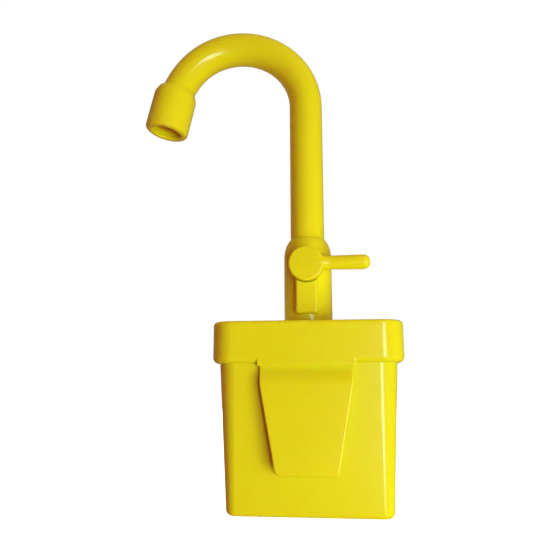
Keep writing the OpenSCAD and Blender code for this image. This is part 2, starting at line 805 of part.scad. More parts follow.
module battery_door() color("gold") {
    on_back_wall() difference() {
        union() {
            translate([(door_x0 + door_x1) / 2, door_y, door_z + door_h / 2]) rotate([-90, 0, 0])
                linear_extrude(door_t) round_rect(door_x1 - door_x0, door_h, door_r);
            for (z0 = knuckle_z) translate([0, 0, z0 + knuckle_h + gap]) difference() {
                union() {
                    knuckle(0, knuckle_h - 2 * gap, pin_r + fit);
                    translate([door_x1 - 1, 0.15, 0])
                        cube([hinge_x - door_x1 + 0.6, 1, knuckle_h - 2 * gap]);
                }
                translate([hinge_x, hinge_y, 0]) rod(pin_r + fit, -1, knuckle_h + 2);
            }
        }
        translate([door_screw_x, 0, door_screw_z]) rotate([90, 0, 0]) {
            rod(door_screw_r, -5, 10);
            rod(2.2, -5, 4.6);
        }
    }
}

module door_screw() color("silver") {
    on_back_wall() translate([door_screw_x, 0, door_screw_z]) rotate([90, 0, 0]) difference() {
        union() {
            rod(door_screw_r, -0.4, door_screw_l);
            rod(2.2, -1.3, 0.9);
        }
        translate([-1.6, -0.3, -2]) cube([3.2, 0.6, 1.2]);
    }
}

module hinge_pins() color("silver") {
    on_back_wall() for (z0 = knuckle_z) translate([hinge_x, hinge_y, 0]) rod(pin_r, z0, 3 * knuckle_h);
}

module switch_body() color("black") {
    translate([button_x, button_y, 0]) difference() {
        rod(switch_r, under_lid_z - switch_h, switch_h);
        rod(button_r + 1, under_lid_z - switch_h + 1.2, switch_h);
    }
}

module switch_button() color("gold") {
    translate([button_x, button_y, 0]) {
        rod(button_r, under_lid_z - 0.1, lid_top_t + 1.9);
        rod(button_r + 0.8, under_lid_z - 0.1 - flange_t, flange_t);
        rod(1.2, under_lid_z - flange_t - 2.1, 2.5);
    }
}

module button_sleeve() color("whitesmoke") {
    translate([button_x, button_y, 0])
        tube(button_r, 1.5, under_lid_z - switch_h + 1.2, switch_h - 1.2 - flange_t - 0.1);
}

module lead_wires() color("red") {
    r = 0.6;
    sides = 8;
    motor_top = motor_z + motor_l + 2.2;
    case_top = case_z + case_h + 0.4;
    case_y = half_d(case_top) - wall_t - case_depth / 2;
    switch_z = under_lid_z - switch_h;
    cable([[pump_x - 6, pump_y, motor_top], [pump_x - 6, pump_y, motor_top + 2],
        [pump_x - 4, pump_y + 3, motor_top + 5], [case_x - 10, case_y - 1, case_top + 4],
        [case_x - 8, case_y, case_top + 3], [case_x - 8, case_y, case_top]], r, sides);
    cable([[pump_x + 6, pump_y - 3, motor_top], [pump_x + 6, pump_y - 3, motor_top + 2],
        [pump_x + 9, pump_y - 6, motor_top + 4], [button_x - 12, -10, case_top + 1],
        [button_x - 4, -4, case_top], [button_x - 2, button_y - 3, case_top + 2],
        [button_x - 2, button_y - 3, switch_z]], r, sides);
    cable([[button_x + 2, button_y + 2, switch_z], [button_x + 2, button_y + 2, switch_z - 2],
        [button_x - 2, case_y - 1, switch_z - 4.5], [case_x + 7, case_y, case_top + 2],
        [case_x + 7, case_y, case_top]], r, sides);
}

box_shell();
lid();
lid_gasket();
lid_screws();
hook_clip();
tap_body();
tap_gasket();
lock_nut();
valve_plug();
plug_o_rings();
valve_bonnet();
lever_knob();
swivel_bush();
swivel_o_ring();
spout_leg();
spout_bend();
spout_tip();
nozzle_sleeve();
nozzle_insert();
nozzle_washer();
hose_adapter();
riser_hose();
pump_housing();
pump_cover();
pump_screws();
inlet_seal();
intake_strainer();
shaft_seal();
impeller();
rotor_shaft();
rotor_core();
motor_magnets();
motor_can();
motor_endcap();
battery_case();
battery_contacts();
battery_cells();
door_gasket();
battery_door();
door_screw();
hinge_pins();
switch_body();
switch_button();
button_sleeve();
lead_wires();
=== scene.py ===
import json
import math

import bmesh
import bpy
from mathutils import Matrix, Vector


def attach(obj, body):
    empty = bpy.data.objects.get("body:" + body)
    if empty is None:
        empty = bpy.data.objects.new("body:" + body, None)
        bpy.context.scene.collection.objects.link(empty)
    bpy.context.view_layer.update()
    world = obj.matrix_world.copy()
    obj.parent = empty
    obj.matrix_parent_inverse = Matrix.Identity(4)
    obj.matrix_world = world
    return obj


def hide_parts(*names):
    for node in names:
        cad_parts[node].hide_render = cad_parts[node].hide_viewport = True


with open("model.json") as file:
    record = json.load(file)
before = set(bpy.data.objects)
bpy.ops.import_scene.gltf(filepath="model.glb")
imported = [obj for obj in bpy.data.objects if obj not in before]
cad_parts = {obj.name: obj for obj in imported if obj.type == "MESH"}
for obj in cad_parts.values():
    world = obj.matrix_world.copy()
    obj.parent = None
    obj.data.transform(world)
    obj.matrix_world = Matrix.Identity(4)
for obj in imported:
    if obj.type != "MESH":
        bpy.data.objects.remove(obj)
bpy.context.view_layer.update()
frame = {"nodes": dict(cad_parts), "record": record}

MM = 0.001
CORNER_STEPS = 14
ROUND_SIDES = 96

# Sizes of the box and lid, in millimetres, as in the part
LID_W = 73.8
LID_D = 46.2
LID_R = 8.8
LID_T = 1.7
LID_TOP_T = 2.2
WALL_H = 55.9
TOP_Z = 72.0
WALL_T = 1.8
FLOOR_T = 2.0
WALL_LOW_W = 62.4
WALL_LOW_D = 34.8
WALL_SLOPE = 3.13 / WALL_H
WALL_TILT = math.atan(WALL_SLOPE)
TUB_R = 8.0
TUB_H = 68.8
TUB_EDGE = 1.9
HOLLOW_EDGE = 1.2
LID_TOP_EDGE = 1.4
LID_LOW_EDGE = 2.4
BOSS_R = 3.0
BOSS_H = 20.0
BOSS_IN = 3.9
BOSS_X = WALL_LOW_W / 2 + WALL_SLOPE * TUB_H - WALL_T - BOSS_IN
BOSS_Y = WALL_LOW_D / 2 + WALL_SLOPE * TUB_H - WALL_T - BOSS_IN
SCREW_R = 1.25
SCREW_L = 10.0
SCREW_HEAD_T = 1.2
STRAINER_X = -17.0
STRAINER_Y = -4.0
STRAINER_R = 5.6
STRAINER_EYE_R = 5.0

# The clip
CLIP_X = -0.2
CLIP_ROOT_HALF = 17.6
CLIP_BEND_HALF = 17.4
CLIP_TIP_HALF = 11.6
LIP_Z = 54.8
LIP_T = 1.05
CLIP_BEND_H = 7.2
CLIP_TIP_Z = 15.5
CLIP_ROOT_Y = -21.9
CLIP_FACE_Y = -24.0
CLIP_ROOT_T = 1.0
CLIP_T = 1.8
CLIP_CORNER = 1.8
CLIP_EDGE = 0.75
CLIP_ROOT_EDGE = 0.4
CLIP_BACK_EDGE = 0.35
LIP_HALF = 18.5
SLOT_HALF = 17.9

# The tap and its lever
BODY_R = 10.0
SHOULDER_Z = 100.6
SHOULDER_H = 7.8
TAP_TOP_Z = 108.4
LEVER_Z = 95.3
DISC_R = 7.0
DISC_FRONT = 17.0
DISC_BACK = 11.3
TAIL_R = 6.0
TAIL_Z = 61.5
WAY_R = 3.6
THROAT_R = 2.4
THROAT_Z = 67.5
CHAMBER_R = 7.14
CHAMBER_Z = 100.1
PLUG_R = 3.65
ARM_R = 2.92
ARM_L = 25.35
ARM_Y = -14.0

# The gooseneck, in its own plane
TUBE_R = 7.19
TUBE_BORE_R = 4.59
SPOUT_TURN = math.radians(3.1)
BEND_Z = 170.1
BEND_R = 29.5
BEND_A = math.radians(140)
TIP_BEND_R = 38.3
TIP_BEND_A = math.radians(27.7)
NOZZLE_R = 9.56
NOZZLE_UP = 7.0
NOZZLE_DOWN = 13.6
OUTLET_R = 6.4
INSERT_R = 6.0
INSERT_WALL = 1.4
WASHER_T = 1.2
PLATE_TOP = 2.4
SEAT_Z = 10.2
JET_COUNT = 6
JET_R = 1.0
MIDDLE_JET_R = 1.1
JET_AT = 3.4
SPIGOT_R = 6.09
GROOVE_R = 5.59

# The hatch on the back wall, in that wall's own tilted frame
DOOR_X0 = -10.0
DOOR_X1 = 22.0
DOOR_Z = 4.0
DOOR_H = 48.0
DOOR_Y = -0.4
DOOR_T = 1.5
RECESS_T = 0.9
HINGE_X = DOOR_X1 + 1.4
HINGE_Y = 1.4
HINGE_R = 1.4
PIN_R = 0.6
KNUCKLE_H = 4.0
KNUCKLE_ZS = (8.0, 36.0)
DOOR_GAP = 0.3
DOOR_R = 2.0
DOOR_EDGE = 0.5
DOOR_SCREW_X = -7.5
DOOR_SCREW_Z = 28.0
NUT_R = 2.6
NUT_L = 4.4
CELL_R = 5.25
CELL_LOW = 5.6
CELL_SHOULDER = 49.1
CELL_TOP = 50.1
CELL_MID_X = 8.0
CELL_STEP = 5.7
CELL_Y = -7.35

BUTTON_X = LID_W * 0.285
BUTTON_Y = LID_D * 0.13
BUTTON_R = 3.2
BUTTON_TOP = TOP_Z + 1.6


def half_w(z):
    return WALL_LOW_W / 2 + WALL_SLOPE * z


def half_d(z):
    return WALL_LOW_D / 2 + WALL_SLOPE * z


def shift(x, y, z):
    return Matrix.Translation(Vector((x, y, z)) * MM)


ON_BACK_WALL = shift(0, WALL_LOW_D / 2, 0) @ Matrix.Rotation(-WALL_TILT, 4, "X")
ON_LEVER_AXIS = shift(0, 0, LEVER_Z) @ Matrix.Rotation(math.radians(90), 4, "X")
INTO_BACK_WALL = Matrix.Rotation(math.radians(90), 4, "X")
ON_HINGE = ON_BACK_WALL @ shift(HINGE_X, HINGE_Y, 0)
ON_DOOR_SCREW = ON_BACK_WALL @ shift(DOOR_SCREW_X, 0, DOOR_SCREW_Z) @ INTO_BACK_WALL
ON_BUTTON = shift(BUTTON_X, BUTTON_Y, 0)


# ---- mesh tools ----


def place(name, points, faces, stand=None):
    """A mesh object from points in millimetres, put where the matrix stand says."""
    mesh = bpy.data.meshes.new(name)
    mesh.from_pydata([Vector(p) * MM for p in points], [], faces)
    if stand is not None:
        mesh.transform(stand)
    made = bpy.data.objects.new(name, mesh)
    bpy.context.scene.collection.objects.link(made)
    return made


def round_outline(w, d, r, steps=CORNER_STEPS):
    """A rectangle with round corners, as points that run counter-clockwise."""
    points = []
    for k, (sx, sy) in enumerate([(1, 1), (-1, 1), (-1, -1), (1, -1)]):
        for s in range(steps + 1):
            a = math.radians(90 * k + 90 * s / steps)
            points.append((sx * (w / 2 - r) + r * math.cos(a), sy * (d / 2 - r) + r * math.sin(a)))
    return points


def loft(name, rings, stand=None):
    """A closed solid through rings of equal count, from the lowest ring to the highest."""
    count = len(rings[0])
    points = [p for ring in rings for p in ring]
    faces = [tuple(reversed(range(count)))]
    for k in range(len(rings) - 1):
        low, high = k * count, (k + 1) * count
        for s in range(count):
            t = (s + 1) % count
            faces.append((low + s, low + t, high + t, high + s))
    faces.append(tuple(range((len(rings) - 1) * count, len(rings) * count)))
    return place(name, points, faces, stand)


def turned(name, profile, stand=None, sides=ROUND_SIDES, ring=False):
    """A solid of revolution about +Z. The (radius, height) profile runs out, up and back in."""
    points, rows = [], []
    for r, z in profile:
        if r < 1e-6:
            rows.append([len(points)])
            points.append((0, 0, z))
        else:
            rows.append(list(range(len(points), len(points) + sides)))
            for s in range(sides):
                a = 2 * math.pi * s / sides
                points.append((r * math.cos(a), r * math.sin(a), z))
    faces = []
    for k in range(len(rows) if ring else len(rows) - 1):
        low, high = rows[k], rows[(k + 1) % len(rows)]
        for s in range(sides):
            t = (s + 1) % sides
            if len(low) == 1 and len(high) == 1:
                break
            if len(low) == 1:
                faces.append((low[0], high[t], high[s]))
            elif len(high) == 1:
                faces.append((low[s], low[t], high[0]))
            else:
                faces.append((low[s], low[t], high[t], high[s]))
    return place(name, points, faces, stand)


def soften(corners, steps=5, ring=False):
    """Rounds the corners of a profile given as (radius, height, rounding)."""
    made, count = [], len(corners)
    for k, (x, y, r) in enumerate(corners):
        if r <= 0 or (not ring and k in (0, count - 1)):
            made.append((x, y))
            continue
        here = Vector((x, y))
        back = Vector(corners[k - 1][:2]) - here
        ahead = Vector(corners[(k + 1) % count][:2]) - here
        half = back.angle(ahead) / 2
        back_room = 0.97 * back.length * r / (r + corners[k - 1][2])
        ahead_room = 0.97 * ahead.length * r / (r + corners[(k + 1) % count][2])
        reach = min(r / math.tan(half), back_room, ahead_room)
        radius = reach * math.tan(half)
        centre = here + (back.normalized() + ahead.normalized()).normalized() * radius / math.sin(half)
        first = (here + back.normalized() * reach - centre).normalized()
        last = (here + ahead.normalized() * reach - centre).normalized()
        sweep = first.angle(last)
        for s in range(steps + 1):
            t = s / steps
            way = (math.sin((1 - t) * sweep) * first + math.sin(t * sweep) * last) / math.sin(sweep)
            made.append(tuple(centre + way * radius))
    return made


def block(name, low, high, r=0.0, stand=None, segments=4):
    """A box between two corners, with all its edges rounded by r."""
    made = place(name, [], [])
    shape = bmesh.new()
    bmesh.ops.create_cube(shape, size=1)
    size = Vector(high) - Vector(low)
    middle = (Vector(high) + Vector(low)) / 2
    for v in shape.verts:
        v.co = Vector([v.co[k] * size[k] + middle[k] for k in range(3)]) * MM
    if r > 0:
        bmesh.ops.bevel(
            shape, geom=list(shape.edges), offset=r * MM, segments=segments, profile=0.5, affect="EDGES"
        )
    shape.to_mesh(made.data)
    shape.free()
    if stand is not None:
        made.data.transform(stand)
    return made


def rod(name, r, z, h, stand=None, sides=ROUND_SIDES, ease=0.0):
    """A round rod along +Z, with its end edges rounded by ease."""
    corners = [(0, z, 0), (r, z, ease), (r, z + h, ease), (0, z + h, 0)]
    return turned(name, soften(corners), stand, sides)


def settle(body):
    """Turns what the modifiers make into the object's own mesh."""
    graph = bpy.context.evaluated_depsgraph_get()
    made = bpy.data.meshes.new_from_object(body.evaluated_get(graph))
    old = body.data
    body.modifiers.clear()
    body.data = made
    bpy.data.meshes.remove(old)
    return body


def combine(body, how, *tools):
    """Joins the tools to the body, or cuts them from it, as solids."""
    for tool in tools:
        step = body.modifiers.new("solid", "BOOLEAN")
        step.operation = how
        step.solver = "EXACT"
        step.object = tool
    settle(body)
    for tool in tools:
        bpy.data.objects.remove(tool)
    return body


def together(name, *parts):
    """One object that holds the separate shells of several."""
    shape = bmesh.new()
    for part in parts:
        shape.from_mesh(part.data)
    made = place(name, [], [])
    shape.to_mesh(made.data)
    shape.free()
    for part in parts:
        bpy.data.objects.remove(part)
    return made


def tidy(body, angle=34):
    """Merges doubles, points the faces outwards and smooths what turns less than the angle."""
    shape = bmesh.new()
    shape.from_mesh(body.data)
    bmesh.ops.remove_doubles(shape, verts=shape.verts, dist=1e-7)
    bmesh.ops.dissolve_degenerate(shape, edges=shape.edges, dist=1e-8)
    bmesh.ops.recalc_face_normals(shape, faces=shape.faces)
    shape.to_mesh(body.data)
    shape.free()
    body.data.shade_smooth()
    body.data.set_sharp_from_angle(angle=math.radians(angle))
    even = body.modifiers.new("even", "WEIGHTED_NORMAL")
    even.keep_sharp = True
    return settle(body)


# ---- material tools ----


def new_group(name, inputs, outputs):
    """An empty shader node group with float inputs given as {name: value}."""
    group = bpy.data.node_groups.new(name, "ShaderNodeTree")
    for label, value in inputs.items():
        socket = group.interface.new_socket(name=label, in_out="INPUT", socket_type="NodeSocketFloat")
        socket.default_value = value
    for label in outputs:
        group.interface.new_socket(name=label, in_out="OUTPUT", socket_type="NodeSocketFloat")
    start = group.nodes.new("NodeGroupInput")
    end = group.nodes.new("NodeGroupOutput")
    return group, start, end


def calc(tree, operation, first, second):
    """A Math node on two values, each a socket or a number."""
    node = tree.nodes.new("ShaderNodeMath")
    node.operation = operation
    for k, value in enumerate((first, second)):
        if isinstance(value, (int, float)):
            node.inputs[k].default_value = value
        else:
            tree.links.new(value, node.inputs[k])
    return node.outputs[0]


def noise(tree, vector, scale, detail=3.0, rough=0.5):
    node = tree.nodes.new("ShaderNodeTexNoise")
    tree.links.new(vector, node.inputs["Vector"])
    if isinstance(scale, (int, float)):
        node.inputs["Scale"].default_value = scale
    else:
        tree.links.new(scale, node.inputs["Scale"])
    node.inputs["Detail"].default_value = detail
    node.inputs["Roughness"].default_value = rough
    return node.outputs["Fac"]


def make_moulded_skin():
    """The skin of a moulded plastic: slow changes of tone, a faint ripple and a fine orange peel."""
    group, start, end = new_group(
        "moulded_skin", {"Patch": 40.0, "Peel": 900.0, "Peel Share": 0.35}, ["Tone", "Height", "Rub"]
    )
    where = group.nodes.new("ShaderNodeTexCoord").outputs["Object"]
    patch = noise(group, where, start.outputs["Patch"], 2.0, 0.5)
    slow = noise(group, where, calc(group, "MULTIPLY", start.outputs["Patch"], 3.1), 2.0, 0.5)
    peel = noise(group, where, start.outputs["Peel"], 2.0, 0.6)
    share = start.outputs["Peel Share"]
    height = calc(group, "ADD", slow, calc(group, "MULTIPLY", peel, share))
    group.links.new(calc(group, "ADD", patch, calc(group, "MULTIPLY", slow, 0.3)), end.inputs["Tone"])
    group.links.new(height, end.inputs["Height"])
    rub = noise(group, where, calc(group, "MULTIPLY", start.outputs["Patch"], 7.0), 5.0, 0.65)
    group.links.new(rub, end.inputs["Rub"])
    return group


def make_brushing():
    """Fine parallel scratches along one axis, as on a drawn or brushed metal."""
    group, start, end = new_group("brushing", {"Scale": 900.0, "Stretch": 0.06}, ["Mask", "Height"])
    where = group.nodes.new("ShaderNodeTexCoord").outputs["Object"]
    parts = group.nodes.new("ShaderNodeSeparateXYZ")
    whole = group.nodes.new("ShaderNodeCombineXYZ")
    group.links.new(where, parts.inputs[0])
    group.links.new(parts.outputs[0], whole.inputs[0])
    group.links.new(parts.outputs[1], whole.inputs[1])
    group.links.new(calc(group, "MULTIPLY", parts.outputs[2], start.outputs["Stretch"]), whole.inputs[2])
    lines = noise(group, whole.outputs[0], start.outputs["Scale"], 4.0, 0.7)
    blots = noise(group, where, 160.0, 3.0, 0.6)
    group.links.new(calc(group, "ADD", lines, calc(group, "MULTIPLY", blots, 0.4)), end.inputs["Mask"])
    group.links.new(lines, end.inputs["Height"])
    return group


MOULDED_SKIN = make_moulded_skin()
BRUSHING = make_brushing()


def start_material(name):
    made = bpy.data.materials.new(name)
    made.use_nodes = True
    tree = made.node_tree
    return made, tree, tree.nodes["Principled BSDF"]


def blend_of(tree, mask, low, high, from_low=0.35, from_high=0.9):
    """A colour that runs from low to high as the mask rises."""
    ramp = tree.nodes.new("ShaderNodeValToRGB")
    ramp.color_ramp.elements[0].position = from_low
    ramp.color_ramp.elements[0].color = (*low, 1)
    ramp.color_ramp.elements[1].position = from_high
    ramp.color_ramp.elements[1].color = (*high, 1)
    tree.links.new(mask, ramp.inputs[0])
    return ramp.outputs[0]


def spread_of(tree, mask, low, high):
    """A value that runs from low to high as the mask goes from 0.3 to 0.8."""
    node = tree.nodes.new("ShaderNodeMapRange")
    node.inputs["From Min"].default_value = 0.3
    node.inputs["From Max"].default_value = 0.8
    node.inputs["To Min"].default_value = low
    node.inputs["To Max"].default_value = high
    tree.links.new(mask, node.inputs["Value"])
    return node.outputs[0]


def add_bump(tree, shader, height, strength, distance):
    bump = tree.nodes.new("ShaderNodeBump")
    bump.inputs["Strength"].default_value = strength
    bump.inputs["Distance"].default_value = distance
    tree.links.new(height, bump.inputs["Height"])
    tree.links.new(bump.outputs[0], shader.inputs["Normal"])


def plastic(name, low, high, rough, patch=40.0, peel=900.0, bump=0.1, depth=0.00004, coat=0.0, soft=0.0):
    """A moulded plastic or rubber between two close tones, with the skin of its mould."""
    made, tree, shader = start_material(name)
    skin = tree.nodes.new("ShaderNodeGroup")
    skin.node_tree = MOULDED_SKIN
    skin.inputs["Patch"].default_value = patch
    skin.inputs["Peel"].default_value = peel
    tree.links.new(blend_of(tree, skin.outputs["Tone"], low, high), shader.inputs["Base Color"])
    tree.links.new(spread_of(tree, skin.outputs["Rub"], rough[0], rough[1]), shader.inputs["Roughness"])
    add_bump(tree, shader, skin.outputs["Height"], bump, depth)
    shader.inputs["Coat Weight"].default_value = coat
    shader.inputs["Coat Roughness"].default_value = 0.08
    if soft > 0:
        shader.inputs["Subsurface Weight"].default_value = soft
        shader.inputs["Subsurface Radius"].default_value = (1.0, 0.4, 0.05)
        shader.inputs["Subsurface Scale"].default_value = 0.0018
    return made


def metal(name, low, high, rough, scale=900.0):
    """A drawn or plated metal with fine lines."""
    made, tree, shader = start_material(name)
    lines = tree.nodes.new("ShaderNodeGroup")
    lines.node_tree = BRUSHING
    lines.inputs["Scale"].default_value = scale
    tree.links.new(blend_of(tree, lines.outputs["Mask"], low, high), shader.inputs["Base Color"])
    tree.links.new(spread_of(tree, lines.outputs["Mask"], rough[0], rough[1]), shader.inputs["Roughness"])
    add_bump(tree, shader, lines.outputs["Height"], 0.08, 0.00002)
    shader.inputs["Metallic"].default_value = 1.0
    return made


def laminated_iron():
    """Stacked iron sheets: thin level lines across dark metal."""
    made, tree, shader = start_material("laminated_iron")
    where = tree.nodes.new("ShaderNodeTexCoord").outputs["Object"]
    sheets = tree.nodes.new("ShaderNodeTexWave")
    sheets.bands_direction = "Z"
    sheets.inputs["Scale"].default_value = 620.0
    sheets.inputs["Distortion"].default_value = 0.4
    tree.links.new(where, sheets.inputs["Vector"])
    blots = noise(tree, where, 300.0, 4.0, 0.6)
    mask = calc(tree, "MULTIPLY", sheets.outputs["Fac"], blots)
    tree.links.new(
        blend_of(tree, mask, (0.05, 0.045, 0.042), (0.2, 0.19, 0.18), 0.05, 0.7), shader.inputs["Base Color"]
    )
    tree.links.new(spread_of(tree, blots, 0.35, 0.6), shader.inputs["Roughness"])
    add_bump(tree, shader, sheets.outputs["Fac"], 0.3, 0.00005)
    shader.inputs["Metallic"].default_value = 1.0
    return made


def cell_sleeve():
    """A battery's shrunk sleeve: a dark body with a plain copper-coloured band at one end."""
    made, tree, shader = start_material("cell_sleeve")
    skin = tree.nodes.new("ShaderNodeGroup")
    skin.node_tree = MOULDED_SKIN
    skin.inputs["Patch"].default_value = 120.0
    where = tree.nodes.new("ShaderNodeTexCoord").outputs["Object"]
    parts = tree.nodes.new("ShaderNodeSeparateXYZ")
    tree.links.new(where, parts.inputs[0])
    band = calc(tree, "GREATER_THAN", parts.outputs[2], 0.040)
    tone = blend_of(tree, skin.outputs["Tone"], (0.03, 0.045, 0.08), (0.05, 0.07, 0.12))
    copper = blend_of(tree, skin.outputs["Tone"], (0.5, 0.24, 0.1), (0.6, 0.3, 0.13))
    mix = tree.nodes.new("ShaderNodeMix")
    mix.data_type = "RGBA"
    tree.links.new(band, mix.inputs["Factor"])
    tree.links.new(tone, mix.inputs["A"])
    tree.links.new(copper, mix.inputs["B"])
    tree.links.new(mix.outputs["Result"], shader.inputs["Base Color"])
    tree.links.new(spread_of(tree, skin.outputs["Rub"], 0.18, 0.3), shader.inputs["Roughness"])
    add_bump(tree, shader, skin.outputs["Height"], 0.08, 0.00003)
    return made


FINISHES = {
    "yellow_plastic": plastic(
        "yellow_plastic", (0.76, 0.67, 0.005), (0.80, 0.71, 0.007), (0.17, 0.24), patch=26.0, peel=520.0,
        bump=0.05, depth=0.00004, soft=0.4,
    ),
    # A darker orange plastic. On the nozzle insert, deep in the mouth, this orange-brown is partly painted
    # shade: it stands in for the shade inside the nozzle.
    "amber_plastic": plastic(
        "amber_plastic", (0.62, 0.28, 0.006), (0.72, 0.36, 0.01), (0.2, 0.3), patch=60.0, bump=0.06
    ),
    "black_rubber": plastic(
        "black_rubber", (0.012, 0.012, 0.012), (0.028, 0.028, 0.027), (0.5, 0.7), patch=160.0, peel=1800.0,
        bump=0.25,
    ),
    "white_plastic": plastic(
        "white_plastic", (0.74, 0.73, 0.68), (0.84, 0.83, 0.79), (0.32, 0.45), patch=90.0, peel=1300.0
    ),
    "clear_silicone": plastic(
        "clear_silicone", (0.68, 0.70, 0.70), (0.80, 0.82, 0.82), (0.3, 0.42), patch=120.0, soft=0.4
    ),
    "dark_plastic": plastic(
        "dark_plastic", (0.018, 0.018, 0.02), (0.035, 0.035, 0.038), (0.34, 0.5), patch=100.0, peel=1600.0,
        bump=0.2,
    ),
    "steel": metal("steel", (0.52, 0.52, 0.53), (0.72, 0.72, 0.73), (0.2, 0.38)),
    "iron": laminated_iron(),
    "cell_sleeve": cell_sleeve(),
    "wire_jacket": plastic(
        "wire_jacket", (0.5, 0.02, 0.015), (0.66, 0.04, 0.03), (0.3, 0.42), patch=200.0
    ),
}

SLOT_OF = {row["node"]: row["material_slot"] for row in frame["record"]["subparts"]}


def dress(made, slot, body, *nodes):
    """Gives a finished piece its finish, its body and the nodes that it stands for."""
    made.data.materials.clear()
    made.data.materials.append(FINISHES[slot])
    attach(made, body)
    if nodes:
        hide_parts(*nodes)
    return made


# ---- the box ----


def tub_ring(z, inset):
    r = TUB_R - WALL_SLOPE * (TUB_H - z) - inset
    outline = round_outline(2 * (half_w(z) - inset), 2 * (half_d(z) - inset), r)
    return [(x, y, z) for x, y in outline]


def tub_solid(name, z0, z1, inset, edge):
    """The tub's tapering form, moved in by inset, with its lower edge rounded."""
    rings = []
    for k in range(9):
        a = math.radians(90 * k / 8)
        rings.append(tub_ring(z0 + edge * (1 - math.cos(a)), inset + edge * (1 - math.sin(a))))
    rings.append(tub_ring((z0 + z1) / 2, inset))
    rings.append(tub_ring(z1, inset))
    return loft(name, rings)


def at_corners(name, r, z, h, sides=48, ease=0.0):
    rods = [
        rod("rod", r, z, h, shift(x, y, 0), sides, ease)
        for x in (-BOSS_X, BOSS_X)
        for y in (-BOSS_Y, BOSS_Y)
    ]
    return together(name, *rods)


def knuckles(name, indices, gap, bore_r):
    """The hinge's knuckles with the given places in each set of three."""
    made = []
    for z0 in KNUCKLE_ZS:
        for k in indices:
            low = z0 + k * KNUCKLE_H + gap
            high = z0 + (k + 1) * KNUCKLE_H - gap
            profile = [(bore_r, low, 0), (HINGE_R, low, 0.25), (HINGE_R, high, 0.25), (bore_r, high, 0)]
            made.append(turned("knuckle", soften(profile, 3, True), ON_HINGE, 48, True))
    return together(name, *made)


def knuckle_webs(name, indices, gap, x0, x1, y0, y1):
    webs = []
    for z0 in KNUCKLE_ZS:
        for k in indices:
            low = (x0, y0, z0 + k * KNUCKLE_H + gap)
            high = (x1, y1, z0 + (k + 1) * KNUCKLE_H - gap)
            webs.append(block("web", low, high, 0.1, ON_BACK_WALL, 2))
    return together(name, *webs)


def hinge_bores(name):
    long = 3 * KNUCKLE_H + 2
    return together(name, *[rod("bore", PIN_R + 0.01, z0 - 1, long, ON_HINGE, 48) for z0 in KNUCKLE_ZS])


def make_box():
    box = tub_solid("box_wall", 0, TUB_H, 0, TUB_EDGE)
    combine(box, "DIFFERENCE", tub_solid("hollow", FLOOR_T, TUB_H + 3, WALL_T, HOLLOW_EDGE))
    bosses = at_corners("bosses", BOSS_R, TUB_H - BOSS_H, BOSS_H)
    combine(bosses, "INTERSECT", tub_solid("inside", FLOOR_T, TUB_H - 0.002, WALL_T / 2, HOLLOW_EDGE))
    nut = rod("screw_boss", NUT_R, WALL_T / 2, NUT_L, ON_DOOR_SCREW, 48, 0.3)
    combine(box, "UNION", bosses, nut)
    combine(
        box,
        "UNION",
        knuckle_webs("webs", (0, 2), 0, HINGE_X - 0.3, HINGE_X + 1.1, -WALL_T / 2, 0.6),
    )
    combine(box, "UNION", knuckles("hinge", (0, 2), 0, PIN_R))
    strainer_seat = [
        (0, -1), (STRAINER_R, -1), (STRAINER_R, 0), (STRAINER_EYE_R, 0.5), (STRAINER_EYE_R, 3), (0, 3),
    ]
    recess_low = (DOOR_X0 - DOOR_GAP, -RECESS_T, DOOR_Z - DOOR_GAP)
    recess_high = (DOOR_X1 + DOOR_GAP, 2.1, DOOR_Z + DOOR_H + DOOR_GAP)
    window = block("window", (-4.35, -3.5, 5.5), (20.35, 3, 50.5), 0.6, ON_BACK_WALL)
    combine(
        box,
        "DIFFERENCE",
        at_corners("holes", SCREW_R, TUB_H - SCREW_L, SCREW_L + 2),
        turned("seat", strainer_seat, shift(STRAINER_X, STRAINER_Y, 0)),
        block("recess", recess_low, recess_high, 0, ON_BACK_WALL),
        window,
        rod("hole", 1.4, -1, 5.4, ON_DOOR_SCREW, 48),
    )
    combine(box, "DIFFERENCE", hinge_bores("bores"))
    return dress(tidy(box), "yellow_plastic", "box", "box_shell")


